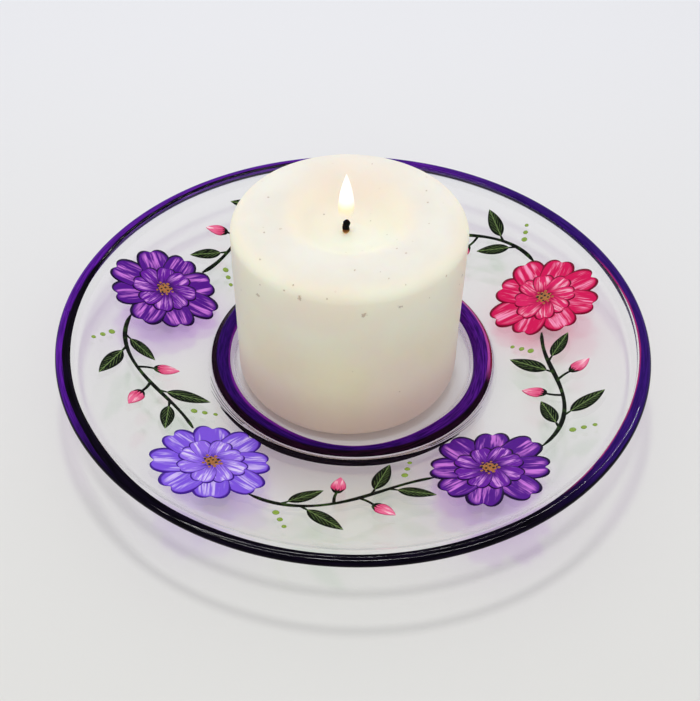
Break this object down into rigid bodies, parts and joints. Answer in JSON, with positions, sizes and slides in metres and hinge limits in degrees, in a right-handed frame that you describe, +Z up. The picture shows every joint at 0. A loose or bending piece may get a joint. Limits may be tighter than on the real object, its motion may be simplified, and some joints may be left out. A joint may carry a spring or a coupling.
{
  "type": "candle plate",
  "caption": "round clear glass plate on a foot ring, with painted violet rim and ring and a painted flower garland, carrying a burning ivory pillar candle in its well",
  "frame": {"origin": "on the table, under the middle of the plate's foot ring", "axes": "+Z up; -Y towards the viewer of the picture; +X to the right"},
  "size_m": [0.2, 0.2, 0.0833],
  "materials": {
    "clear_glass": "polished",
    "band_violet": "gloss",
    "petal_pink": "gloss",
    "petal_pink_light": "gloss",
    "petal_violet": "gloss",
    "petal_violet_light": "gloss",
    "petal_lilac": "gloss",
    "petal_lilac_light": "gloss",
    "centre_gold": "satin",
    "vine_green": "gloss",
    "leaf_green": "gloss",
    "bud_pink": "gloss",
    "berry_green": "gloss",
    "ivory_wax": "satin",
    "wick_cotton": "matte",
    "clip_steel": "satin",
    "flame_glow": "matte"
  },
  "bodies": {
    "plate": {"glass_plate": "clear_glass", "rim_band": "band_violet", "ring_band": "band_violet", "blossom_1_outer_petals": "petal_pink", "blossom_1_inner_petals": "petal_pink_light", "blossom_1_centre": "centre_gold", "vine_1": "vine_green", "leaves_1": "leaf_green", "buds_1": "bud_pink", "berries_1": "berry_green", "blossom_2_outer_petals": "petal_lilac", "blossom_2_inner_petals": "petal_lilac_light", "blossom_2_centre": "centre_gold", "vine_2": "vine_green", "leaves_2": "leaf_green", "buds_2": "bud_pink", "berries_2": "berry_green", "blossom_3_outer_petals": "petal_violet", "blossom_3_inner_petals": "petal_violet_light", "blossom_3_centre": "centre_gold", "vine_3": "vine_green", "leaves_3": "leaf_green", "buds_3": "bud_pink", "berries_3": "berry_green", "blossom_4_outer_petals": "petal_lilac", "blossom_4_inner_petals": "petal_lilac_light", "blossom_4_centre": "centre_gold", "vine_4": "vine_green", "leaves_4": "leaf_green", "buds_4": "bud_pink", "berries_4": "berry_green", "blossom_5_outer_petals": "petal_violet", "blossom_5_inner_petals": "petal_violet_light", "blossom_5_centre": "centre_gold", "vine_5": "vine_green", "leaves_5": "leaf_green", "buds_5": "bud_pink", "berries_5": "berry_green"},
    "candle": {"wax_body": "ivory_wax", "wick": "wick_cotton", "wick_clip": "clip_steel", "flame": "flame_glow"}
  },
  "joints": [
    {"name": "candle_lift", "type": "slide", "parent": "plate", "child": "candle", "axis": [0, 0, 1], "range_m": [0, 0.05]}
  ]
}
